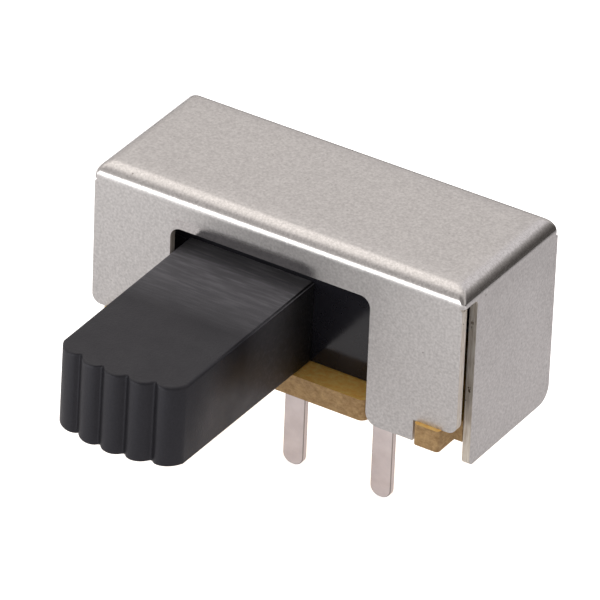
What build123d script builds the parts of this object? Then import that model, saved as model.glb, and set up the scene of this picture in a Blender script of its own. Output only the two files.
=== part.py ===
"""Right-angle slide switch for a circuit board: a folded steel frame, a phenolic base board
with three flat terminals, and a moulded slider that carries a spring contact clip.

X runs along the slot, the knob comes out towards -Y, and Z is up from the board that the side
panels stand on. The origin is in the middle of the case on that board. The slider is drawn at
the left end of its travel. All lengths are in millimetres.
"""
import os
from math import radians, tan

from build123d import *

# Steel frame: one folded sheet
case_length = 12.5
case_depth = 5.2
case_height = 6.2
sheet = 0.25
bend_radius = 0.5
wall_inset = 0.05
panel_setback = 0.75
panel_rear_step = 0.05
panel_front_corner = 0.2
panel_rear_corner = 0.5
rear_seam = 0.05

# Front opening of the frame, and the feet beside it
works_shift = -0.2
slot_drop = 1.27
slot_corner = 0.35
foot_length = 1.19
foot_corner = 0.4
notch_length = 1.43
wall_corner = 0.3

# Base board
base_lift = 0.74
base_thickness = 0.7
base_clearance = 0.02
ear_length = 0.85
ear_gap = 0.1
ear_proud = 0.15
ear_corner = 0.12
tongue_corner_share = 0.9

# Flat terminals
terminal_pitch = 3.0
terminal_sheet = 0.2
terminal_row = -0.8
tail_width = 0.63
tail_reach = 2.86
tip_corner = 0.24
blade_width = 1.3
blade_height = 1.95
blade_corner = 0.25
terminal_fit = 0.02

# Slider body
body_end_gap = 0.08
face_setback = 0.9
top_gap = 0.1
floor_gap = 0.03
wall_gap = 0.08
rail_gap = 0.1
body_edge = 0.12
channel_gap = 0.15

# Knob, widest at its root
knob_width = 4.28
tip_narrowing = 0.1
knob_height = 2.68
tip_height = 2.62
knob_reach = 6.55
end_lean_deg = 2.0
knob_edge = 0.1
root_depth = 0.3
stop_gap = 0.08
rib_count = 5
rib_depth_share = 0.31
end_crown_share = 0.115

# Contact clip
clip_sheet = 0.15
clip_leg_width = 0.9
clip_half_width = 0.42
clip_flare = 0.1
clip_bend = 0.12
clip_foot_gap = 0.45
clip_crown_gap = 0.55
pinch_gap = 0.02
pinch_rise_share = 0.5
bridge_height = 0.35
clip_seat_gap = 0.02

# Every cut runs past the faces that it opens by this much
overrun = 1.0

# Places that several pieces share
front_y = -case_depth / 2
back_y = case_depth / 2
front_inner_y = front_y + sheet
back_inner_y = back_y - sheet
panel_x = case_length / 2
panel_inner_x = panel_x - sheet
panel_front_y = front_y + panel_setback
panel_rear_y = back_y - panel_rear_step
wall_end_x = panel_x - wall_inset
fold_z = case_height - bend_radius
slot_top_z = case_height - slot_drop
base_top_z = base_lift + base_thickness
notch_x = wall_end_x - notch_length
slot_length = 2 * (notch_x - foot_length + works_shift)
travel = slot_length - knob_width - 2 * stop_gap
slider_x = works_shift - travel / 2
slider_floor_z = base_top_z + floor_gap
face_y = front_y + face_setback
blade_top_z = base_top_z + blade_height
clip_length = terminal_pitch + clip_leg_width
clip_crown_z = blade_top_z + clip_crown_gap


def span_box(x_span, y_span, z_span):
    """A box between two corners, given as a low and a high value on each axis."""
    size = [high - low for low, high in (x_span, y_span, z_span)]
    middle = [(high + low) / 2 for low, high in (x_span, y_span, z_span)]
    return Pos(*middle) * Box(*size)


def span_rectangle(x_span, y_span):
    """A flat rectangle between two corners of the drawing plane."""
    size = [high - low for low, high in (x_span, y_span)]
    middle = [(high + low) / 2 for low, high in (x_span, y_span)]
    return Pos(*middle) * Rectangle(*size)


def round_corners(outline, points, radius):
    """Round the corners of a flat outline that lie nearest to the given points."""
    corners = [outline.vertices().sort_by_distance(point)[0] for point in points]
    return fillet(corners, radius)


def wall_outline(half_length):
    """Front view of an end-to-end wall: two feet and a notch at each lower corner for an ear."""
    outline = span_rectangle((-half_length, half_length), (base_lift, case_height + overrun))
    for side in (-1, 1):
        notch_span = sorted((side * notch_x, side * (half_length + overrun)))
        outline -= span_rectangle(notch_span, (base_lift - overrun, base_top_z))
    lower_corners = [(side * half_length, base_top_z) for side in (-1, 1)]
    return round_corners(outline, lower_corners, wall_corner)


def slotted_outline():
    """Front view of the front wall: the plain wall with the slot that is open at the bottom."""
    slot_span = [works_shift - slot_length / 2, works_shift + slot_length / 2]
    outline = wall_outline(wall_end_x)
    outline -= span_rectangle(slot_span, (base_lift - overrun, slot_top_z))
    outline = round_corners(outline, [(x, slot_top_z) for x in slot_span], slot_corner)
    return round_corners(outline, [(x, base_lift) for x in slot_span], foot_corner)


def panel_outline():
    """Side view of a side panel, with its own X along the depth of the case."""
    outline = span_rectangle((panel_front_y, panel_rear_y), (0, case_height + overrun))
    outline = round_corners(outline, [(panel_front_y, 0)], panel_front_corner)
    return round_corners(outline, [(panel_rear_y, 0)], panel_rear_corner)


def make_steel_frame():
    """Fold the sheet as a rounded shell, then trim each wall below the fold to its outline."""
    outside = span_box((-panel_x, panel_x), (front_y, back_y), (0, case_height))
    outside = fillet(outside.edges().group_by(Axis.Z)[-1], bend_radius)
    inside = span_box(
        (-panel_inner_x, panel_inner_x), (front_inner_y, back_inner_y), (0, case_height - sheet)
    )
    inside = fillet(inside.edges().group_by(Axis.Z)[-1], bend_radius - sheet)
    frame = outside - inside

    front_slab = span_box(
        (-panel_x - overrun, panel_x + overrun), (front_y - overrun, front_inner_y), (-overrun, fold_z)
    )
    front_keep = extrude(Plane.XZ * slotted_outline(), case_depth, both=True)
    frame -= front_slab - front_keep

    back_slab = span_box(
        (-panel_inner_x, panel_inner_x), (back_inner_y, back_y + overrun), (-overrun, fold_z)
    )
    back_keep = extrude(Plane.XZ * wall_outline(panel_inner_x - rear_seam), case_depth, both=True)
    frame -= back_slab - back_keep

    panel_keep = extrude(Plane.YZ * panel_outline(), case_length, both=True)
    for low_x, high_x in ((-panel_x - overrun, -panel_inner_x), (panel_inner_x, panel_x + overrun)):
        panel_slab = span_box((low_x, high_x), (front_inner_y, back_y + overrun), (-overrun, fold_z))
        frame -= panel_slab - panel_keep
    return frame


def make_base_board():
    """Punched plate: snug between the panels, a tongue in the slot and ears under the notches."""
    plate_front_y = front_inner_y + base_clearance
    plate_back_y = back_inner_y - base_clearance
    plate_end_x = panel_inner_x - base_clearance
    ear_span = (notch_x + ear_gap, notch_x + ear_gap + ear_length)
    tongue_half = slot_length / 2 - base_clearance
    tongue_span = (works_shift - tongue_half, works_shift + tongue_half)

    outline = span_rectangle((-plate_end_x, plate_end_x), (panel_front_y, plate_back_y))
    outline += span_rectangle((-ear_span[1], ear_span[1]), (plate_front_y, plate_back_y))
    outline += span_rectangle(tongue_span, (front_y, plate_back_y))
    for side in (-1, 1):
        span = sorted(side * x for x in ear_span)
        outline += span_rectangle(span, (front_y - ear_proud, back_y))
    tongue_corner = tongue_corner_share * (plate_front_y - front_y)
    outline = round_corners(outline, [(x, front_y) for x in tongue_span], tongue_corner)
    ear_corners = [
        (side * x, y) for side in (-1, 1) for x in ear_span for y in (front_y - ear_proud, back_y)
    ]
    outline = round_corners(outline, ear_corners, ear_corner)
    board = Pos(0, 0, base_lift) * extrude(outline, base_thickness)

    slot_size = (tail_width + 2 * terminal_fit, terminal_sheet + 2 * terminal_fit)
    for place in (-1, 0, 1):
        slot_x = works_shift + place * terminal_pitch
        board -= Pos(slot_x, terminal_row, base_lift) * Box(*slot_size, base_thickness + overrun)
    return board


def make_terminal(place):
    """Flat terminal: a wide blade above the board and a narrow tail with a rounded tip below."""
    centre_x = works_shift + place * terminal_pitch
    blade_span = (centre_x - blade_width / 2, centre_x + blade_width / 2)
    tail_span = (centre_x - tail_width / 2, centre_x + tail_width / 2)
    outline = span_rectangle(blade_span, (base_top_z, blade_top_z))
    outline += span_rectangle(tail_span, (-tail_reach, blade_top_z))
    outline = round_corners(outline, [(x, -tail_reach) for x in tail_span], tip_corner)
    outline = round_corners(outline, [(x, blade_top_z) for x in blade_span], blade_corner)
    blade = extrude(Plane.XZ * outline, terminal_sheet / 2, both=True)
    return Pos(0, terminal_row, 0) * blade


def knob_plan(length):
    """Plan of the knob from inside the body, with round upright ribs along its bowed end."""
    root_half = knob_width / 2
    tip_half = root_half - tip_narrowing / 2
    pitch = 2 * tip_half / rib_count
    rib_depth = rib_depth_share * pitch
    end_crown = end_crown_share * knob_width

    def valley_y(x):
        return end_crown * (x / tip_half) ** 2 + rib_depth - length

    outline = Curve()
    for rib in range(rib_count):
        left_x = -tip_half + rib * pitch
        middle_x = left_x + pitch / 2
        right_x = left_x + pitch
        outline += ThreePointArc(
            (left_x, valley_y(left_x)),
            (middle_x, valley_y(middle_x) - rib_depth),
            (right_x, valley_y(right_x)),
        )
    corner_y = valley_y(tip_half)
    right_side = [(tip_half, corner_y), (root_half, 0), (root_half, root_depth)]
    left_side = [(-x, y) for x, y in reversed(right_side)]
    outline += Polyline(*right_side, *left_side)
    return make_face(outline)


def make_knob():
    """Ribbed plan drawn upwards and a little backwards, under a top that slopes to the tip."""
    length = knob_reach + face_setback
    upwards = (0, tan(radians(end_lean_deg)), 1)
    bar = extrude(knob_plan(length), knob_height + overrun, dir=upwards)
    side_view = make_face(
        Polyline((root_depth, 0), (-length, 0), (-length, tip_height), (root_depth, knob_height), close=True)
    )
    knob = bar & extrude(Plane.YZ * side_view, knob_width, both=True)
    long_edges = knob.edges().sort_by(SortBy.LENGTH)[-4:]
    return Pos(0, face_y, slider_floor_z) * fillet(long_edges, knob_edge)


def make_slider():
    """One moulding: body, guide rail above the slot, knob, and the clip's pocket underneath."""
    left_x = -panel_inner_x + body_end_gap - slider_x
    right_x = panel_inner_x - body_end_gap - slider_x - travel
    body_back_y = back_inner_y - wall_gap
    body_top_z = case_height - sheet - top_gap
    rail_front_y = front_inner_y + wall_gap
    body = span_box((left_x, right_x), (face_y, body_back_y), (slider_floor_z, body_top_z))
    body += span_box((left_x, right_x), (rail_front_y, face_y), (slot_top_z + rail_gap, body_top_z))
    body = fillet(body.edges().group_by(Axis.Z)[-1], body_edge)
    body += make_knob()

    channel_half = terminal_sheet / 2 + channel_gap
    body -= span_box(
        (left_x - overrun, right_x + overrun),
        (terminal_row - channel_half, terminal_row + channel_half),
        (slider_floor_z - overrun, blade_top_z + channel_gap),
    )
    pocket_half_x = clip_length / 2 + clip_seat_gap
    pocket_half_y = clip_half_width + clip_sheet / 2 + clip_seat_gap
    body -= span_box(
        (-pocket_half_x, pocket_half_x),
        (terminal_row - pocket_half_y, terminal_row + pocket_half_y),
        (slider_floor_z - overrun, clip_crown_z),
    )
    return Pos(slider_x, 0, 0) * body


def make_contact_clip():
    """Spring strip bent to a pinched arch, with a pair of legs on each of two terminals."""
    foot_z = base_top_z + clip_foot_gap
    crown_z = clip_crown_z - clip_sheet / 2
    pinch_z = foot_z + pinch_rise_share * (blade_top_z - foot_z)
    pinch_y = terminal_sheet / 2 + pinch_gap + clip_sheet / 2
    half_path = [
        (pinch_y + clip_flare, foot_z),
        (pinch_y, pinch_z),
        (clip_half_width, blade_top_z),
        (clip_half_width, crown_z),
    ]
    path = half_path + [(-y, z) for y, z in reversed(half_path)]
    strip = trace(FilletPolyline(*path, radius=clip_bend), line_width=clip_sheet)
    arch = extrude(Plane.YZ * strip, clip_length / 2, both=True)
    window_half = terminal_pitch / 2 - clip_leg_width / 2
    arch -= span_box(
        (-window_half, window_half),
        (-clip_half_width - overrun, clip_half_width + overrun),
        (foot_z - overrun, clip_crown_z - bridge_height),
    )
    return Pos(slider_x, terminal_row, 0) * arch


pieces = {
    "steel_frame": make_steel_frame(),
    "base_board": make_base_board(),
    "left_terminal": make_terminal(-1),
    "common_terminal": make_terminal(0),
    "right_terminal": make_terminal(1),
    "slider": make_slider(),
    "contact_clip": make_contact_clip(),
}

os.makedirs("parts", exist_ok=True)
for node, solid in pieces.items():
    solid.label = node
    export_step(solid, f"parts/{node}.step")
    print(node, round(solid.volume, 3), "mm3")
print("slider travel", round(travel, 3), "mm")
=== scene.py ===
# %% [markdown]
# # A slide switch for a circuit board
#
# The real switch is a small folded steel frame, about twelve millimetres long, with a black moulded
# knob that comes out of the front through a slot. A punched amber board closes the frame from below,
# and flat silvery terminals go straight down from it. The imported model gives every piece its place,
# and this lesson builds each piece again with finer bends, softened edges and a finish, except the
# contact clip, which keeps its imported shape and only gets a finish.

# %% Load the imported model
from math import acos, cos, pi, radians, sin, sqrt, tan

import bmesh
import bpy
from mathutils import Matrix, Vector


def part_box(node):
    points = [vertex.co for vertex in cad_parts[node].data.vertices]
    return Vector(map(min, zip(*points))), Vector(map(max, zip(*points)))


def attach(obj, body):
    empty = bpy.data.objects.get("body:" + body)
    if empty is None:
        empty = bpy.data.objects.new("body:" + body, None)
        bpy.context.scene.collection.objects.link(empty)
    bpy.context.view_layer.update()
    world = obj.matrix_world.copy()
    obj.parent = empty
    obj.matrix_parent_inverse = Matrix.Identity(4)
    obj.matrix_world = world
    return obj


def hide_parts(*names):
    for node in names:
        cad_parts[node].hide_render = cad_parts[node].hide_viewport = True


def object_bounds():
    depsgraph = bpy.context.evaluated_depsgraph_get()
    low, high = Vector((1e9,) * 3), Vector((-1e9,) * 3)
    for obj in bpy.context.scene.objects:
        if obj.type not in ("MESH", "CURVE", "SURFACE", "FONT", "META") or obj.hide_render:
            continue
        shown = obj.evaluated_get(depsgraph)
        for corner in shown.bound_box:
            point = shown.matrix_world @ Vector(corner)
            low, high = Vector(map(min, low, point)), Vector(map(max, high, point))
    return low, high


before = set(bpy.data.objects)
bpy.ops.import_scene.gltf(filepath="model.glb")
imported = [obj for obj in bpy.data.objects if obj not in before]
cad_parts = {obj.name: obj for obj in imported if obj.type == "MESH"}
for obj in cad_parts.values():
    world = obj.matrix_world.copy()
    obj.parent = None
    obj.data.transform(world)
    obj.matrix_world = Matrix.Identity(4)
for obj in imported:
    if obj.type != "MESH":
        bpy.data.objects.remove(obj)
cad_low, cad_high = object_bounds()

scene = bpy.context.scene

# %% [markdown]
# ## Working in millimetres
#
# The bends and edges here are a few hundredths of a millimetre. In metres such numbers come close to
# the tolerances inside the mesh tools, so every mesh is shaped in millimetres and made a thousand
# times smaller when it is finished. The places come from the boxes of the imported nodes.

# %% Millimetres
MM = 0.001


def box_mm(node):
    """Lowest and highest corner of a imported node, in millimetres."""
    low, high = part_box(node)
    return low / MM, high / MM


steel_low, steel_high = box_mm("steel_frame")
board_low, board_high = box_mm("base_board")
slider_low, slider_high = box_mm("slider")
print("steel frame", [round(v, 2) for v in steel_high - steel_low], "mm")

# %% [markdown]
# ## Tools for punched sheet
#
# The frame, the board and the terminals are all punched from sheet. A punched outline can be drawn
# point by point, but cutting a plain face along straight lines, taking cells away and rounding the
# corners that are left is closer to the way that the press works, and it needs no list of points.

# %% Cutting, clearing and rounding a face
TINY = 1e-5
SHARP = radians(50)


def cut_faces(bm, chosen, cuts):
    """Cut the faces that the test picks along planes, each given as an axis (0, 1 or 2) and a place."""
    for axis, place in cuts:
        faces = [f for f in bm.faces if chosen(f)]
        parts = set(faces)
        for face in faces:
            parts.update(face.edges)
            parts.update(face.verts)
        normal = Vector((0, 0, 0))
        normal[axis] = 1
        bmesh.ops.bisect_plane(bm, geom=list(parts), dist=TINY, plane_co=normal * place, plane_no=normal)
        bm.normal_update()


def clear_cells(bm, chosen, gone):
    """Take away the cells whose middle lies in the waste."""
    waste = [f for f in bm.faces if chosen(f) and gone(f.calc_center_median())]
    bmesh.ops.delete(bm, geom=waste, context="FACES")


def join_cells(bm):
    """Join the cells that lie in one plane, so that only the outline is left."""
    bmesh.ops.dissolve_limit(bm, angle_limit=radians(1), verts=bm.verts[:], edges=bm.edges[:])
    bm.normal_update()


def round_corners(bm, points, radius, segments=10):
    """Round the outline corners that lie nearest to the given points."""
    corners = []
    for point in points:
        corners.append(min(bm.verts, key=lambda v: (v.co - Vector(point)).length))
    bmesh.ops.bevel(bm, geom=corners, offset=radius, offset_type="OFFSET", segments=segments, profile=0.5,
                    affect="VERTICES", clamp_overlap=False, material=-1)
    bm.normal_update()


def thicken(bm, thickness):
    """Give a sheet its thickness on the far side, and mark the cut edges with material slot 1."""
    shown_side = set(bm.verts)
    bmesh.ops.solidify(bm, geom=bm.faces[:], thickness=thickness)
    bm.normal_update()
    for face in bm.faces:
        if len({v in shown_side for v in face.verts}) == 2:
            face.material_index = 1


def soften(bm, offset, segments=2, kept=lambda e: True):
    """Round the sharp outer edges a little, and mark the new narrow faces as worn."""
    worn = bm.faces.layers.float.get("worn") or bm.faces.layers.float.new("worn")
    sharp = [e for e in bm.edges if e.is_manifold and e.is_convex and kept(e)
             and e.calc_face_angle() > SHARP]
    made = bmesh.ops.bevel(bm, geom=sharp, offset=offset, offset_type="OFFSET", segments=segments,
                           profile=0.5, affect="EDGES", clamp_overlap=True, material=-1)
    for face in made["faces"]:
        face[worn] = 1.0
    bm.normal_update()


def finish_piece(bm, name, finishes, body, slot, *nodes):
    """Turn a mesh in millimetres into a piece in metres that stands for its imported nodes."""
    for face in bm.faces:
        face.smooth = True
    bmesh.ops.scale(bm, vec=(MM, MM, MM), verts=bm.verts)
    mesh = bpy.data.meshes.new(name)
    bm.to_mesh(mesh)
    bm.free()
    for finish in finishes:
        mesh.materials.append(finish)
    piece = bpy.data.objects.new(name, mesh)
    scene.collection.objects.link(piece)
    even = piece.modifiers.new("flat_faces_stay_flat", "WEIGHTED_NORMAL")
    even.keep_sharp = True
    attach(piece, body)
    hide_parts(*nodes)
    print(name, len(mesh.polygons), "faces", [round(v / MM, 2) for v in piece.dimensions], "mm")


# %% [markdown]
# ## Finishes
#
# Nickel plate on punched steel is not a mirror: it has a fine speckle from the steel below, and the
# sheet is never quite flat. Its folds are burnished, and along the slot's upper edge the plate is
# smooth enough to mirror the knob. The mirror image could be painted on, but it would stay behind when
# the knob moves, so only the roughness changes there. The moulding has a faint texture with rubbing
# marks, and towards the knob's root its colour is also painted light to lift the shade there. The board
# is paper soaked in resin, with fibres along it, and its faces are painted a much lighter amber than
# its cut edges, as painted light that lifts the shade on the tongue in the slot. These effects share
# one speckle, so it is a node group.

# %% Speckle node group
def new_group(name, inputs, outputs):
    """An empty node group with named sockets."""
    group = bpy.data.node_groups.new(name, "ShaderNodeTree")
    for socket, kind in inputs:
        group.interface.new_socket(name=socket, in_out="INPUT", socket_type=kind)
    for socket, kind in outputs:
        group.interface.new_socket(name=socket, in_out="OUTPUT", socket_type=kind)
    return group, group.nodes.new("NodeGroupInput"), group.nodes.new("NodeGroupOutput")


def add_noise(tree, vector, scale, detail=2.0, roughness=0.5):
    noise = tree.nodes.new("ShaderNodeTexNoise")
    noise.inputs["Detail"].default_value = detail
    noise.inputs["Roughness"].default_value = roughness
    tree.links.new(vector, noise.inputs["Vector"])
    if isinstance(scale, (int, float)):
        noise.inputs["Scale"].default_value = scale
    else:
        tree.links.new(scale, noise.inputs["Scale"])
    return noise.outputs["Fac"]


def add_ramp(tree, value, low, high, to_low=0.0, to_high=1.0):
    """Spread the span from low to high of a value over a new span."""
    spread = tree.nodes.new("ShaderNodeMapRange")
    for socket, number in zip(("From Min", "From Max", "To Min", "To Max"), (low, high, to_low, to_high)):
        spread.inputs[socket].default_value = number
    tree.links.new(value, spread.inputs["Value"])
    return spread.outputs["Result"]


def add_math(tree, operation, first, second):
    node = tree.nodes.new("ShaderNodeMath")
    node.operation = operation
    for socket, value in zip(node.inputs, (first, second)):
        if isinstance(value, (int, float)):
            socket.default_value = value
        else:
            tree.links.new(value, socket)
    return node.outputs["Value"]


def add_mix(tree, share, first, second):
    """Blend two colours, each a socket or four numbers."""
    mix = tree.nodes.new("ShaderNodeMix")
    mix.data_type = "RGBA"
    tree.links.new(share, mix.inputs["Factor"])
    for socket, value in ((mix.inputs[6], first), (mix.inputs[7], second)):
        if isinstance(value, tuple):
            socket.default_value = value
        else:
            tree.links.new(value, socket)
    return mix.outputs[2]


speckle, speckle_in, speckle_out = new_group(
    "speckle",
    [("Vector", "NodeSocketVector"), ("Grain", "NodeSocketFloat"), ("Cloud", "NodeSocketFloat")],
    [("Grain", "NodeSocketFloat"), ("Cloud", "NodeSocketFloat")],
)
fine = add_noise(speckle, speckle_in.outputs["Vector"], speckle_in.outputs["Grain"], 3.0, 0.6)
cloud = add_noise(speckle, speckle_in.outputs["Vector"], speckle_in.outputs["Cloud"], 4.0, 0.55)
speckle.links.new(add_ramp(speckle, fine, 0.3, 0.7), speckle_out.inputs["Grain"])
speckle.links.new(add_ramp(speckle, cloud, 0.3, 0.7), speckle_out.inputs["Cloud"])
print("speckle group with", len(speckle.nodes), "nodes")

# %% [markdown]
# Every finish starts with the same few nodes: the Principled shader, the piece's own Object
# coordinates and the speckle at the finish's own scale. The helper below places them.

# %% A finish to start from
def new_finish(name, grain, cloud, metallic=0.0):
    """A material with its speckle placed, and what the next cells need from it."""
    material = bpy.data.materials.new(name)
    material.use_nodes = True
    tree = material.node_tree
    shader = tree.nodes["Principled BSDF"]
    shader.inputs["Metallic"].default_value = metallic
    place = tree.nodes.new("ShaderNodeTexCoord").outputs["Object"]
    marks = tree.nodes.new("ShaderNodeGroup")
    marks.node_tree = speckle
    tree.links.new(place, marks.inputs["Vector"])
    marks.inputs["Grain"].default_value = grain
    marks.inputs["Cloud"].default_value = cloud
    return material, tree, shader, place, marks.outputs["Grain"], marks.outputs["Cloud"]


def add_bump(tree, shader, height, depth):
    """A bump of the given depth in metres."""
    bump = tree.nodes.new("ShaderNodeBump")
    bump.inputs["Distance"].default_value = depth
    tree.links.new(height, bump.inputs["Height"])
    tree.links.new(bump.outputs["Normal"], shader.inputs["Normal"])


def read_mark(tree, name):
    """A value that the mesh carries on its faces."""
    mark = tree.nodes.new("ShaderNodeAttribute")
    mark.attribute_name = name
    return mark.outputs["Fac"]


def along(tree, vector, direction, low, high):
    """How far a vector reaches in a direction, spread between two lengths."""
    dot = tree.nodes.new("ShaderNodeVectorMath")
    dot.operation = "DOT_PRODUCT"
    tree.links.new(vector, dot.inputs[0])
    dot.inputs[1].default_value = Vector(direction).normalized()
    return add_ramp(tree, dot.outputs["Value"], low, high)


def stretched(tree, place, scale):
    """The place, with each axis drawn out or pressed together."""
    mapping = tree.nodes.new("ShaderNodeMapping")
    mapping.inputs["Scale"].default_value = scale
    tree.links.new(place, mapping.inputs["Vector"])
    return mapping.outputs["Vector"]


# %% Nickel plate
nickel, tree, shader, place, grain, cloud = new_finish("nickel_plate", 13000, 900, metallic=1.0)
tint = add_mix(tree, grain, (0.475, 0.462, 0.455, 1), (0.65, 0.635, 0.625, 1))
pits = add_ramp(tree, add_noise(tree, place, 5200, 1.0, 0.5), 0.78, 0.86)
tint = add_mix(tree, pits, tint, (0.26, 0.24, 0.23, 1))
tint = add_mix(tree, read_mark(tree, "worn"), tint, (0.68, 0.66, 0.65, 1))
tree.links.new(tint, shader.inputs["Base Color"])
lip = along(tree, place, (0, -1, 0), 0.00256, 0.00259)
lip_top = ((0, 0, -1), -0.00539, -0.00511)
lip_left = ((1, 0, 0), -0.0036, -0.0034)
lip_right = ((-1, 0, 0), -0.0015, -0.0009)
for direction, low, high in (lip_top, lip_left, lip_right):
    lip = add_math(tree, "MULTIPLY", lip, along(tree, place, direction, low, high))
polish = add_math(tree, "MAXIMUM", read_mark(tree, "burnished"), lip)
gloss = add_ramp(tree, polish, 0, 1, 0.50, 0.20)
gloss = add_math(tree, "SUBTRACT", gloss, add_math(tree, "MULTIPLY", lip, 0.12))
gloss = add_math(tree, "ADD", gloss, add_ramp(tree, cloud, 0, 1, -0.03, 0.03))
tree.links.new(gloss, shader.inputs["Roughness"])
height = add_math(tree, "ADD", add_math(tree, "MULTIPLY", grain, 0.12), cloud)
height = add_math(tree, "MULTIPLY", height, add_ramp(tree, polish, 0, 1, 1.0, 0.4))
add_bump(tree, shader, height, 0.000004)

# %% Sheared edge of the plated sheet
sheared, tree, shader, place, grain, cloud = new_finish("sheared_edge", 9000, 5000, metallic=0.35)
streaks = add_noise(tree, stretched(tree, place, (1, 1, 0.12)), 14000, 3.0, 0.6)
streaks = add_ramp(tree, streaks, 0.35, 0.65)
tint = add_mix(tree, streaks, (0.56, 0.50, 0.42, 1), (0.76, 0.72, 0.65, 1))
pits = add_ramp(tree, cloud, 0.0, 0.10)
tint = add_mix(tree, pits, (0.10, 0.07, 0.04, 1), tint)
tree.links.new(tint, shader.inputs["Base Color"])
tree.links.new(add_ramp(tree, cloud, 0, 1, 0.45, 0.6), shader.inputs["Roughness"])
add_bump(tree, shader, streaks, 0.000006)

# %% Black moulding: the knob
satin, tree, shader, place, grain, cloud = new_finish("satin_moulding", 16000, 1200)
tint = add_mix(tree, grain, (0.007, 0.007, 0.009, 1), (0.012, 0.012, 0.015, 1))
rubs = add_noise(tree, stretched(tree, place, (0.1, 1, 1)), 9000, 3.0, 0.6)
rubs = add_ramp(tree, rubs, 0.45, 0.68, 0.6, 1.0)
# Towards the root the colour is made a light grey: partly real rub marks, partly painted light that lifts
# the shade falling there under the frame's front wall.
near_root = along(tree, place, (0, 1, 0), -0.0054, -0.0016)
rubs_and_painted_light = add_math(tree, "MULTIPLY", rubs, near_root)
tint = add_mix(tree, rubs_and_painted_light, tint, (0.28, 0.28, 0.305, 1))
tree.links.new(tint, shader.inputs["Base Color"])
dull = add_ramp(tree, cloud, 0, 1, 0.40, 0.50)
dull = add_math(tree, "ADD", dull, add_math(tree, "MULTIPLY", rubs_and_painted_light, 0.25))
tree.links.new(dull, shader.inputs["Roughness"])
shader.inputs["Specular IOR Level"].default_value = 0.42
shader.inputs["Specular Tint"].default_value = (0.90, 0.90, 1.0, 1)
add_bump(tree, shader, grain, 0.000003)

# %% Black moulding: the body behind the slot
glossy, tree, shader, place, grain, cloud = new_finish("glossy_moulding", 16000, 900)
tint = add_mix(tree, cloud, (0.013, 0.013, 0.017, 1), (0.019, 0.019, 0.024, 1))
tree.links.new(tint, shader.inputs["Base Color"])
tree.links.new(add_ramp(tree, cloud, 0, 1, 0.10, 0.18), shader.inputs["Roughness"])
add_bump(tree, shader, cloud, 0.000002)

# %% Paper board: faces and punched edges
board_face, tree, shader, place, grain, cloud = new_finish("paper_board_face", 7000, 700)
fibres = add_ramp(tree, add_noise(tree, stretched(tree, place, (0.7, 1, 1)), 7500, 4.0, 0.65), 0.3, 0.7)
# The faces are painted a much lighter amber than the cut edges: painted light that lifts the shade on the
# tongue in the slot.
tint = add_mix(tree, fibres, (0.90, 0.46, 0.085, 1), (1.0, 0.70, 0.22, 1))
tint = add_mix(tree, read_mark(tree, "worn"), tint, (0.66, 0.46, 0.20, 1))
tree.links.new(tint, shader.inputs["Base Color"])
tree.links.new(add_ramp(tree, cloud, 0, 1, 0.28, 0.42), shader.inputs["Roughness"])
add_bump(tree, shader, fibres, 0.000004)

board_edge, tree, shader, place, grain, cloud = new_finish("paper_board_edge", 9000, 900)
fibres = add_ramp(tree, add_noise(tree, stretched(tree, place, (0.7, 0.7, 1)), 8000, 4.0, 0.7), 0.3, 0.7)
tint = add_mix(tree, fibres, (0.27, 0.15, 0.05, 1), (0.52, 0.34, 0.15, 1))
tint = add_mix(tree, read_mark(tree, "worn"), tint, (0.66, 0.46, 0.20, 1))
tree.links.new(tint, shader.inputs["Base Color"])
tree.links.new(add_ramp(tree, cloud, 0, 1, 0.5, 0.7), shader.inputs["Roughness"])
add_bump(tree, shader, fibres, 0.00001)

# %% Silver plate and spring brass
silver, tree, shader, place, grain, cloud = new_finish("silver_plate", 15000, 1500, metallic=1.0)
tint = add_mix(tree, cloud, (0.66, 0.60, 0.595, 1), (0.80, 0.74, 0.735, 1))
tint = add_mix(tree, read_mark(tree, "worn"), tint, (0.36, 0.33, 0.32, 1))
tree.links.new(tint, shader.inputs["Base Color"])
tree.links.new(add_ramp(tree, grain, 0, 1, 0.30, 0.42), shader.inputs["Roughness"])
add_bump(tree, shader, cloud, 0.000004)

brass, tree, shader, place, grain, cloud = new_finish("spring_brass", 15000, 1500, metallic=1.0)
tint = add_mix(tree, cloud, (0.60, 0.40, 0.14, 1), (0.78, 0.56, 0.24, 1))
tree.links.new(tint, shader.inputs["Base Color"])
tree.links.new(add_ramp(tree, grain, 0, 1, 0.28, 0.4), shader.inputs["Roughness"])
add_bump(tree, shader, grain, 0.000003)
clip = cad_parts["contact_clip"]
clip.data.materials.clear()
clip.data.materials.append(brass)
print("finishes", len(bpy.data.materials))

# %% [markdown]
# ## Steel frame
#
# The real frame is one blank, folded down on four sides. It could be drawn flat and bent, but a box
# without a bottom whose four top edges are bevelled gives the same folds at once. The press also
# leaves the corners round and the top a little crowned, so the corner edges get a bevel of their own
# and the top is inset and lifted in three small steps.

# %% Fold the blank
sheet = 0.25
bend_radius = 0.5
frame_corner = 0.14
shoulder_steps = ((0.12, 0.011), (0.14, 0.007), (0.16, 0.003))
crown = sum(lift for width, lift in shoulder_steps)
bm = bmesh.new()
bmesh.ops.create_cube(bm, size=1.0)
bmesh.ops.scale(bm, vec=steel_high - steel_low - Vector((0, 0, crown)), verts=bm.verts)
bmesh.ops.translate(bm, vec=(steel_high + steel_low - Vector((0, 0, crown))) / 2, verts=bm.verts)
bmesh.ops.delete(bm, geom=[f for f in bm.faces if f.normal.z < -0.9], context="FACES")
blank_top = steel_high.z - crown
top_edges = [e for e in bm.edges if all(v.co.z > blank_top - TINY for v in e.verts)]
bmesh.ops.bevel(bm, geom=top_edges, offset=bend_radius, offset_type="OFFSET", segments=14, profile=0.5,
                affect="EDGES", clamp_overlap=False, material=-1)

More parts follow.
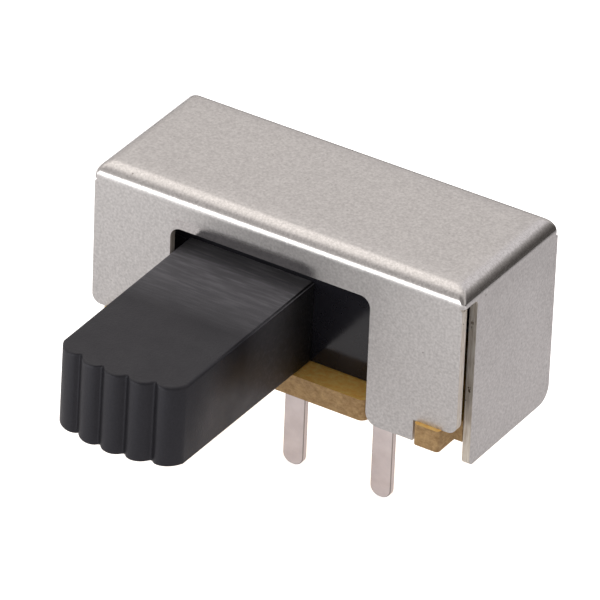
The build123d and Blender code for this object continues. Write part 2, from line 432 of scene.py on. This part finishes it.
bm.normal_update()
for width, lift in shoulder_steps:
    top_face = max(bm.faces, key=lambda f: f.calc_area() * (f.normal.z > 0.99))
    bmesh.ops.inset_region(bm, faces=[top_face], thickness=width, depth=lift, use_even_offset=True)
    bm.normal_update()


def on_mitre(vert):
    """On the line where two neighbouring folds or walls meet."""
    to_side = steel_high.x - abs(vert.co.x)
    to_front = steel_high.y - abs(vert.co.y)
    return abs(to_side - to_front) < 10 * TINY and to_side < bend_radius + TINY


def at_one_corner(edge):
    """Down one mitre, and not along a fold from one mitre to the next."""
    first, second = edge.verts
    step = first.co - second.co
    return on_mitre(first) and on_mitre(second) and max(abs(step.x), abs(step.y)) < bend_radius


corner_edges = [e for e in bm.edges if at_one_corner(e)]
bmesh.ops.bevel(bm, geom=corner_edges, offset=frame_corner, offset_type="OFFSET", segments=6, profile=0.5,
                affect="EDGES", clamp_overlap=False, material=-1)
bm.normal_update()
fully_burnished = radians(15)
burnished = bm.faces.layers.float.new("burnished")
for face in bm.faces:
    turned = acos(min(max(abs(share) for share in face.normal), 1))
    face[burnished] = min(turned / fully_burnished, 1)
print("folded blank", len(bm.faces), "faces")

# %% [markdown]
# Each wall is then cut to its outline. The front has the slot and two notches, the back has only the
# notches, and the side panels stand a little back from the front. Below the folds the round corners
# are cut away, and the walls are drawn out to the ends that they have on the real frame.

# %% Cut the walls to their outlines
wall_end = steel_high.x - 0.05
notch_x = 4.77
slot_left, slot_right = -3.58, 3.18
slot_top = steel_high.z - 1.27
back_end = steel_high.x - sheet - 0.05
panel_front = steel_low.y + 0.75
panel_rear = steel_high.y - 0.03
seam_top = steel_high.z - bend_radius - 0.07
relief = 0.08


def on_front(face):
    return face.normal.y < -0.999


def on_back(face):
    return face.normal.y > 0.999


def on_panel(face):
    return abs(face.normal.x) > 0.999


def on_corner(face):
    return abs(face.normal.x) > 0.02 and abs(face.normal.y) > 0.02


def front_waste(p):
    in_slot = slot_left < p.x < slot_right and p.z < slot_top
    return p.z < board_low.z or in_slot or (abs(p.x) > notch_x and p.z < board_high.z)


def back_waste(p):
    past_end = abs(p.x) > back_end and p.z < seam_top
    return p.z < board_low.z or past_end or (abs(p.x) > notch_x and p.z < board_high.z)


def panel_waste(p):
    return p.z < seam_top and p.y < panel_front


def corner_waste(p):
    return p.z < seam_top


cut_faces(bm, on_front, [(0, x) for x in (-notch_x, slot_left, slot_right, notch_x)]
          + [(2, z) for z in (board_low.z, board_high.z, slot_top, seam_top - relief, seam_top)])
clear_cells(bm, on_front, front_waste)
cut_faces(bm, on_back, [(0, x) for x in (-back_end, -notch_x, notch_x, back_end)]
          + [(2, z) for z in (board_low.z, board_high.z, seam_top)])
clear_cells(bm, on_back, back_waste)
cut_faces(bm, on_panel, [(1, panel_front), (2, seam_top), (2, seam_top - relief)])
clear_cells(bm, on_panel, panel_waste)
cut_faces(bm, on_corner, [(2, seam_top)])
clear_cells(bm, on_corner, corner_waste)
near = 0.01
for vert in bm.verts:
    below = vert.co.z < seam_top - relief + near
    if below and abs(vert.co.x) > steel_high.x - near and vert.co.y > steel_high.y - frame_corner - near:
        vert.co.y = panel_rear
    if below and vert.co.y < steel_low.y + near and abs(vert.co.x) > steel_high.x - frame_corner - near:
        vert.co.x = wall_end if vert.co.x > 0 else -wall_end
join_cells(bm)
print("cut walls", len(bm.faces), "faces", len(bm.verts), "corners")

# %% Round the corners, then give the sheet its thickness
front, back = steel_low.y, steel_high.y
sides = (steel_low.x, steel_high.x)
slot_corner, foot_corner, wall_corner = 0.35, 0.4, 0.3
panel_front_corner, panel_rear_corner, seam_corner = 0.2, 0.5, 0.15
edge_softness = 0.03
round_corners(bm, [(x, front, slot_top) for x in (slot_left, slot_right)], slot_corner)
round_corners(bm, [(x, front, board_low.z) for x in (slot_left, slot_right)], foot_corner)
round_corners(bm, [(x, front, board_high.z) for x in (-wall_end, wall_end)], wall_corner)
round_corners(bm, [(x, back, board_high.z) for x in (-back_end, back_end)], wall_corner)
round_corners(bm, [(x, panel_front, 0) for x in sides], panel_front_corner)
round_corners(bm, [(x, panel_rear, 0) for x in sides], panel_rear_corner)
round_corners(bm, [(x, panel_front, seam_top) for x in sides], seam_corner)
thicken(bm, sheet)
soften(bm, edge_softness)
finish_piece(bm, "folded_steel_frame", [nickel, sheared], "case", "nickel_plate", "steel_frame")

# %% [markdown]
# ## Base board
#
# A plate of paper board lies under the slider. Its tongue fills the bottom of the slot, its ears sit
# in the notches, and three narrow slits hold the terminals. The outline is cut from one rectangle in
# the same way as the walls, and the plate is then given its thickness downwards.

# %% Punch the board
board_gap = 0.02
plate_front, plate_back = steel_low.y + sheet + board_gap, steel_high.y - sheet - board_gap
tongue_left, tongue_right = slot_left + board_gap, slot_right - board_gap
tongue_corner, ear_corner = 0.24, 0.12
ear_near, ear_far = notch_x + 0.1, notch_x + 0.95
row_y = -0.8
terminal_places = (-3.2, -0.2, 2.8)
slit_half_x, slit_half_y = 0.37, 0.12


def blank(low, high):
    """A flat rectangle in the plane z = high.z, facing up."""
    bm = bmesh.new()
    bmesh.ops.create_grid(bm, x_segments=1, y_segments=1, size=0.5)
    bmesh.ops.scale(bm, vec=(high.x - low.x, high.y - low.y, 1), verts=bm.verts)
    bmesh.ops.translate(bm, vec=((high.x + low.x) / 2, (high.y + low.y) / 2, high.z), verts=bm.verts)
    bm.normal_update()
    return bm


def every_face(face):
    return True


def board_waste(p):
    on_ear = ear_near < abs(p.x) < ear_far
    on_tongue = tongue_left < p.x < tongue_right
    in_slit = any(abs(p.x - x) < slit_half_x for x in terminal_places) and abs(p.y - row_y) < slit_half_y
    past_front = p.y < plate_front and not on_ear and not (on_tongue and p.y > steel_low.y)
    past_corner = p.y < panel_front and abs(p.x) > ear_far
    past_back = p.y > plate_back and not on_ear
    return in_slit or past_front or past_corner or past_back


bm = blank(board_low, board_high)
lines = [-ear_far, -ear_near, tongue_left, tongue_right, ear_near, ear_far]
lines += [x + side * slit_half_x for x in terminal_places for side in (-1, 1)]
cut_faces(bm, every_face, [(0, x) for x in lines])
lines = [steel_low.y, plate_front, panel_front, row_y - slit_half_y, row_y + slit_half_y, plate_back]
cut_faces(bm, every_face, [(1, y) for y in lines])
clear_cells(bm, every_face, board_waste)
join_cells(bm)
round_corners(bm, [(x, steel_low.y, board_high.z) for x in (tongue_left, tongue_right)], tongue_corner)
ears = [(side * x, y) for side in (-1, 1) for x in (ear_near, ear_far) for y in (board_low.y, board_high.y)]
round_corners(bm, [(x, y, board_high.z) for x, y in ears], ear_corner)
thicken(bm, board_high.z - board_low.z)
soften(bm, edge_softness)
finish_piece(bm, "punched_base_board", [board_face, board_edge], "case", "phenolic", "base_board")

# %% [markdown]
# ## Terminals
#
# Each terminal is a flat blade, wide above the board, where the clip grips it, and narrow below, with
# a rounded tip that finds its hole easily. The three are alike, so one function stands them up.

# %% Stand up the terminals
tail_half, terminal_sheet = 0.345, 0.2
tip_corner, blade_corner, blade_softness = 0.31, 0.25, 0.025


def make_terminal(name, node):
    low, high = box_mm(node)
    middle = (low.x + high.x) / 2
    bm = bmesh.new()
    bmesh.ops.create_grid(bm, x_segments=1, y_segments=1, size=0.5)
    bmesh.ops.rotate(bm, cent=(0, 0, 0), matrix=Matrix.Rotation(radians(90), 3, "X"), verts=bm.verts)
    bmesh.ops.scale(bm, vec=(high.x - low.x, 1, high.z - low.z), verts=bm.verts)
    bmesh.ops.translate(bm, vec=(middle, low.y, (high.z + low.z) / 2), verts=bm.verts)
    bm.normal_update()
    cut_faces(bm, every_face, [(0, middle - tail_half), (0, middle + tail_half), (2, board_high.z)])
    clear_cells(bm, every_face, lambda p: p.z < board_high.z and abs(p.x - middle) > tail_half)
    join_cells(bm)
    round_corners(bm, [(middle + side * tail_half, low.y, low.z) for side in (-1, 1)], tip_corner)
    round_corners(bm, [(x, low.y, high.z) for x in (low.x, high.x)], blade_corner)
    thicken(bm, terminal_sheet)
    soften(bm, blade_softness)
    finish_piece(bm, name, [silver, silver], "case", "silver_plate", node)


for side_name in ("left", "common", "right"):
    make_terminal(f"{side_name}_terminal_blade", f"{side_name}_terminal")

# %% [markdown]
# ## Slider
#
# One moulding carries the knob and the body that slides inside the frame. The body has the same
# section from end to end, with a channel below for the terminals, so its section is cut from a flat
# face and drawn along the frame. The knob is a ribbed plan drawn upwards with a little draft.

# %% Body of the slider
face_y = -1.7
rail_bottom = slot_top + 0.1
channel = (row_y - 0.25, row_y + 0.25)
channel_top = 3.54
body_left, body_right = slider_low.x, slider_high.x
body_front, body_back = -2.27, slider_high.y


def body_waste(p):
    under_rail = p.y < face_y and p.z < rail_bottom
    return under_rail or (channel[0] < p.y < channel[1] and p.z < channel_top)


bm = bmesh.new()
bmesh.ops.create_grid(bm, x_segments=1, y_segments=1, size=0.5)
bmesh.ops.rotate(bm, cent=(0, 0, 0), matrix=Matrix.Rotation(radians(90), 3, "Y"), verts=bm.verts)
bmesh.ops.scale(bm, vec=(1, body_back - body_front, slider_high.z - slider_low.z), verts=bm.verts)
bmesh.ops.translate(bm, vec=(body_right, (body_back + body_front) / 2, (slider_high.z + slider_low.z) / 2),
                    verts=bm.verts)
bm.normal_update()
cut_faces(bm, every_face, [(1, face_y), (1, channel[0]), (1, channel[1]),
                           (2, rail_bottom), (2, channel_top)])
clear_cells(bm, every_face, body_waste)
join_cells(bm)
thicken(bm, body_right - body_left)
for face in bm.faces:
    face.material_index = 1
top_edge_radius = 0.1
soften(bm, top_edge_radius, segments=4, kept=lambda e: all(v.co.z > slider_high.z - TINY for v in e.verts))
soften(bm, edge_softness)
print("slider body", len(bm.faces), "faces")

# %% [markdown]
# The knob's plan is a rectangle whose outer edge is divided and moved onto five round ribs along a bow.
# The plan is then lifted in layers. The first and the last few layers are drawn in along a quarter
# circle, which rounds the lower and the upper edges, ribs and all, where a bevel over so many short
# edges would tear.

# %% Plan of the knob, with a ribbed, bowed end
root_half, tip_half = 2.14, 2.09
knob_middle = -1.36
knob_root = face_y + 0.3
knob_reach = face_y - slider_low.y
rib_count = 5
rib_pitch = 2 * tip_half / rib_count
rib_depth = 0.31 * rib_pitch
end_crown = 0.115 * 2 * root_half


def valley(x):
    return slider_low.y + rib_depth + end_crown * (x / tip_half) ** 2


def rib_end(x):
    """Where the ribbed end lies for a place across the knob: on the arc of the rib there."""
    rib = min(int((x + tip_half) / rib_pitch), rib_count - 1)
    left = -tip_half + rib * rib_pitch
    share = (x - left) / rib_pitch
    chord = valley(left) * (1 - share) + valley(left + rib_pitch) * share
    rise = (valley(left) + valley(left + rib_pitch)) / 2 - valley(left + rib_pitch / 2) + rib_depth
    arc_radius = ((rib_pitch / 2) ** 2 + rise ** 2) / (2 * rise)
    across = (share - 0.5) * rib_pitch
    return chord - (sqrt(max(arc_radius ** 2 - across ** 2, 0)) - arc_radius + rise)


knob = bmesh.new()
bmesh.ops.create_grid(knob, x_segments=1, y_segments=1, size=0.5)
bmesh.ops.scale(knob, vec=(2 * tip_half, knob_root - slider_low.y, 1), verts=knob.verts)
bmesh.ops.translate(knob, vec=(0, (knob_root + slider_low.y) / 2, slider_low.z), verts=knob.verts)
end_edge = [e for e in knob.edges if all(v.co.y < slider_low.y + TINY for v in e.verts)]
steps_per_rib = 14
bmesh.ops.subdivide_edges(knob, edges=end_edge, cuts=rib_count * steps_per_rib - 1)
end_verts = [v for v in knob.verts if v.co.y < slider_low.y + TINY]
for vert in end_verts:
    vert.co.y = rib_end(vert.co.x)
inner_verts = [v for v in end_verts if abs(v.co.x) < tip_half - TINY]
bmesh.ops.smooth_vert(knob, verts=inner_verts, factor=0.5, use_axis_x=False, use_axis_y=True,
                      use_axis_z=False)
for vert in knob.verts:
    if vert.co.y > face_y:
        vert.co.x *= root_half / tip_half
print("knob plan", len(knob.verts), "corners")

# %% Lift the plan in layers
root_height, tip_height = 2.68, 2.62
lean = tan(radians(2))
edge_radius = 0.1
end_share = 0.6
edge_layers = 5
quarter = [radians(90 * step / edge_layers) for step in range(edge_layers + 1)]
layers = [(0, edge_radius * (1 - cos(a)), edge_radius * (1 - sin(a))) for a in quarter]
layers += [(1, -edge_radius * (1 - sin(a)), edge_radius * (1 - cos(a))) for a in quarter]
plan = knob.verts.layers.float_vector.new("plan")
for vert in knob.verts:
    vert[plan] = vert.co


def layer_place(place, whole, extra, drawn_in):
    """Where a corner of the plan goes on one layer: its share of the height, and drawn in at the edges."""
    share = (face_y - place.y) / knob_reach
    height = whole * (root_height + share * (tip_height - root_height)) + extra
    x = place.x * (root_half - drawn_in) / root_half
    y = place.y + height * lean + (end_share * drawn_in if place.y < face_y else 0)
    return Vector((x, y, slider_low.z + height))


for vert in knob.verts:
    vert.co = layer_place(vert[plan], *layers[0])
top_face = knob.faces[:][0]
for layer in layers[1:]:
    lifted = bmesh.ops.extrude_face_region(knob, geom=[top_face])["geom"]
    top_face = [part for part in lifted if isinstance(part, bmesh.types.BMFace)][0]
    for vert in top_face.verts:
        vert.co = layer_place(vert[plan], *layer)
bmesh.ops.recalc_face_normals(knob, faces=knob.faces[:])
knob.verts.layers.float_vector.remove(plan)
knob.faces.layers.float.new("worn")
bmesh.ops.translate(knob, vec=(knob_middle, 0, 0), verts=knob.verts)
print("knob", len(knob.faces), "faces")

# %% Join the knob and the body in one moulding
knob_mesh = bpy.data.meshes.new("knob_shape")
knob.to_mesh(knob_mesh)
knob.free()
bm.from_mesh(knob_mesh)
bpy.data.meshes.remove(knob_mesh)
crease = radians(35)
for edge in bm.edges:
    if edge.is_manifold and edge.calc_face_angle() > crease:
        edge.smooth = False
finish_piece(bm, "ribbed_slider", [satin, glossy], "slider", "black_moulding", "slider")

# %% [markdown]
# ## Floor, light and camera
#
# The photograph has a white ground and hardly a shadow, so the camera sees a floor that glows. The
# plated sheet sees the same floor less bright, and brighter where it comes near the lamp. The polished
# folds show what stands around the switch as bands: a low lamp at the front left, which is the white
# line along the front fold, a broad light overhead, which is the soft line above it, and a dim side
# at the right and behind, which is the dark band along the right fold.

# %% Pale floor
floor_finish, tree, shader, place, grain, cloud = new_finish("pale_floor", 400, 20)
seen = tree.nodes.new("ShaderNodeLightPath").outputs["Is Camera Ray"]
away, towards_lamp = (0.52, 0.85, 0), (-0.44, -0.90, 0)
far_side = along(tree, place, away, 0.0205, 0.0265)
ground = add_mix(tree, far_side, (0.36, 0.36, 0.36, 1), (0.05, 0.05, 0.05, 1))
paper = add_mix(tree, cloud, (0.92, 0.92, 0.92, 1), (0.94, 0.94, 0.94, 1))
tree.links.new(add_mix(tree, seen, ground, paper), shader.inputs["Base Color"])
shader.inputs["Roughness"].default_value = 0.9
shader.inputs["Specular IOR Level"].default_value = 0.0
light = add_mix(tree, along(tree, place, away, -0.004, 0.012), (0.50, 0.48, 0.485, 1),
                (0.55, 0.525, 0.54, 1))
light = add_mix(tree, along(tree, place, away, 0.010, 0.020), light, (0.76, 0.73, 0.75, 1))
light = add_mix(tree, along(tree, place, towards_lamp, 0.026, 0.05), light, (1.2, 1.2, 1.2, 1))
light = add_mix(tree, far_side, light, (0.06, 0.055, 0.05, 1))
tree.links.new(add_mix(tree, seen, light, (0.8, 0.8, 0.8, 1)), shader.inputs["Emission Color"])
shader.inputs["Emission Strength"].default_value = 1.0
bm = bmesh.new()
bmesh.ops.create_grid(bm, x_segments=8, y_segments=8, size=0.6)
bmesh.ops.translate(bm, vec=(0, 0, cad_low.z), verts=bm.verts)
floor_mesh = bpy.data.meshes.new("pale_floor")
bm.to_mesh(floor_mesh)
bm.free()
floor_mesh.materials.append(floor_finish)
floor = bpy.data.objects.new("pale_floor", floor_mesh)
scene.collection.objects.link(floor)
print("floor", [round(v, 2) for v in floor.dimensions], "m")

# %% Sky
sky = bpy.data.worlds.new("studio_sky")
scene.world = sky
sky.use_nodes = True
tree = sky.node_tree
towards = tree.nodes.new("ShaderNodeTexCoord").outputs["Generated"]
overhead = along(tree, towards, (-0.42, 0.08, 0.90), 0.72, 0.99)
high_back = along(tree, towards, (0.10, 0.73, 0.68), 0.86, 0.98)
front_right = along(tree, towards, (0.35, -0.80, 0.45), 0.60, 0.90)
dim_side = along(tree, towards, (0.68, 0.73, -0.05), 0.70, 1.00)
colour = add_mix(tree, overhead, (0.75, 0.71, 0.69, 1), (1.50, 1.42, 1.36, 1))
colour = add_mix(tree, high_back, colour, (0.96, 0.92, 0.93, 1))
colour = add_mix(tree, front_right, colour, (0.32, 0.30, 0.29, 1))
colour = add_mix(tree, dim_side, colour, (0.10, 0.09, 0.085, 1))
background = tree.nodes["Background"]
tree.links.new(colour, background.inputs["Color"])
print("sky nodes", len(tree.nodes))

# %% Lamp
def add_lamp(name, place, aim, size, brightness):
    """A soft lamp of an even brightness that faces its aim, all in metres."""
    data = bpy.data.lights.new(name, "AREA")
    data.shape = "RECTANGLE"
    data.size, data.size_y = size
    data.energy = brightness * pi * data.size * data.size_y
    lamp = bpy.data.objects.new(name, data)
    scene.collection.objects.link(lamp)
    lamp.location = place
    lamp.rotation_euler = (Vector(aim) - Vector(place)).to_track_quat("-Z", "Y").to_euler()


add_lamp("low_front_lamp", (-0.044, -0.090, 0.0115), (0, 0, 0.0055), (0.10, 0.028), 2.4)
print("lamps", len(bpy.data.lights))

# %% Camera
azimuth, elevation, roll = radians(31.03), radians(32.11), radians(2.34)
level = Vector((cos(azimuth), sin(azimuth), 0))
backward = Vector((sin(azimuth) * cos(elevation), -cos(azimuth) * cos(elevation), sin(elevation)))
upward = backward.cross(level)
right = level * cos(roll) + upward * sin(roll)
up = upward * cos(roll) - level * sin(roll)
aim = Vector((0, 0, 6.2)) - right * 0.743 - up * 3.219
distance = 229.2
eye = aim + backward * distance
camera_data = bpy.data.cameras.new("camera")
camera_data.lens, camera_data.sensor_width = 480, 36
camera_data.clip_start, camera_data.clip_end = 0.01, 5
camera = bpy.data.objects.new("camera", camera_data)
scene.collection.objects.link(camera)
turn = Matrix((right, up, backward)).transposed().to_4x4()
camera.matrix_world = Matrix.Translation(eye * MM) @ turn
scene.camera = camera
scene.view_settings.view_transform = "Standard"
print("camera at", [round(v, 4) for v in camera.location])

# %% [markdown]
# ## Last step
#
# The dressed part has to keep the size of the imported one; the scene is brought up to date at the end.

# %% Bring the scene up to date
bpy.context.view_layer.update()
